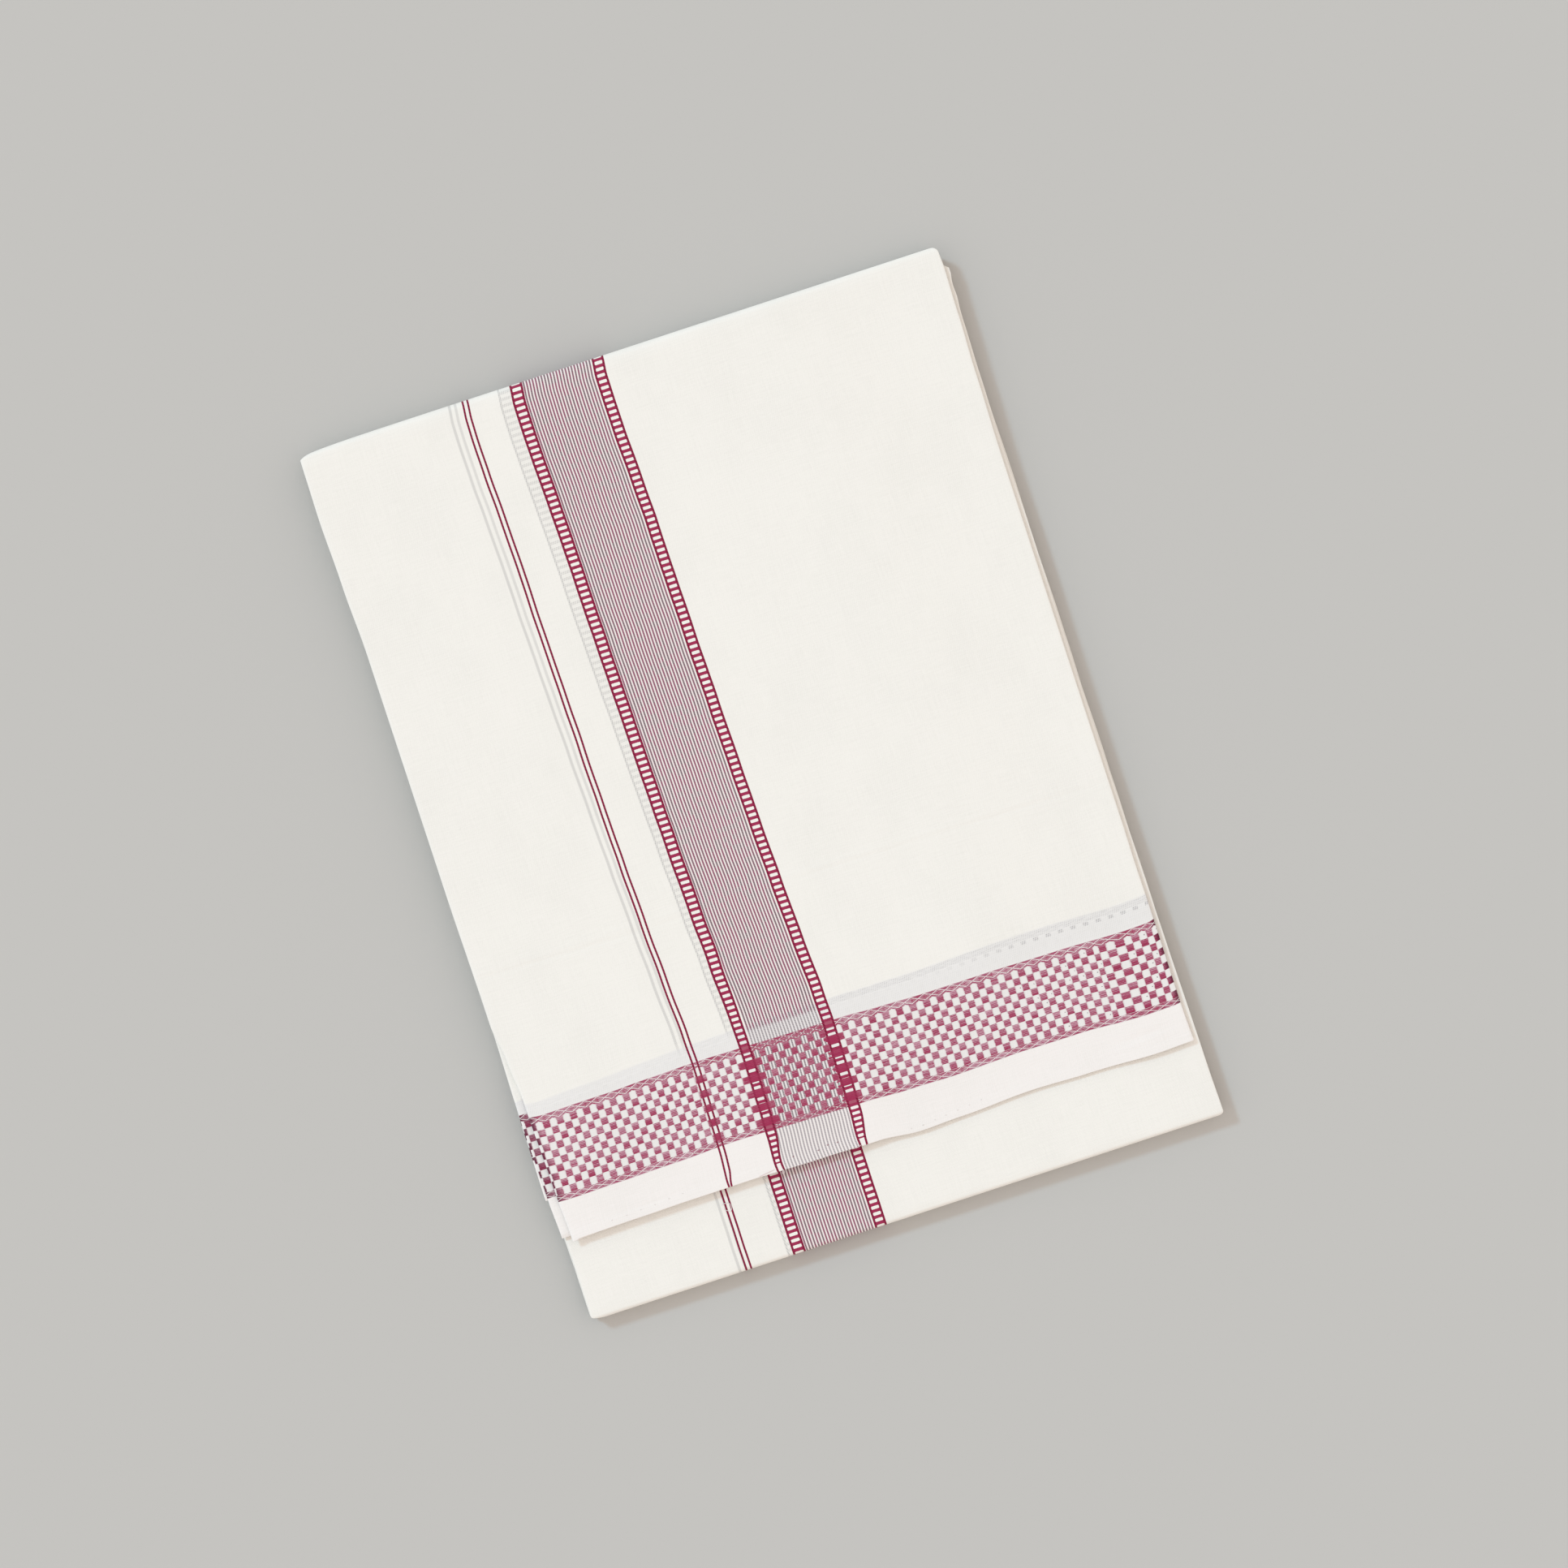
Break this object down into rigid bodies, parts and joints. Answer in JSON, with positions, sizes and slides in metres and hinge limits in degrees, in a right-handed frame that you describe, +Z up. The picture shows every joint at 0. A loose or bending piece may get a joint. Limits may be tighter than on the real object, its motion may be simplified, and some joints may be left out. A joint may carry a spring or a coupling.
{
  "type": "folded dhoti cloth",
  "caption": "Cotton dhoti folded and pressed flat, with woven border stripes, a chequered end band, a hemmed flap on top and rounded folds round its edges.",
  "frame": {"origin": "on the resting surface, under the middle of the folded cloth", "axes": "+Y from the bottom fold to the top fold, along the warp stripes; +X to the right across the stripes, seen from above; +Z up"},
  "size_m": [0.2743, 0.3716, 0.0114],
  "materials": {
    "inner_leaves": "matt plain-woven white cotton",
    "lower_leaf": "matt white cotton with woven maroon border stripes",
    "plies": "matt white cotton with the end of a maroon chequered band",
    "flap": "matt white cotton with woven maroon border stripes and a chequered band",
    "hem": "turned and hand-sewn white cotton"
  },
  "bodies": {
    "root": {"hidden_leaves": "inner_leaves", "lower_leaf": "lower_leaf", "third_ply": "plies", "second_ply": "plies", "top_flap": "flap", "end_hem": "hem"}
  },
  "joints": []
}
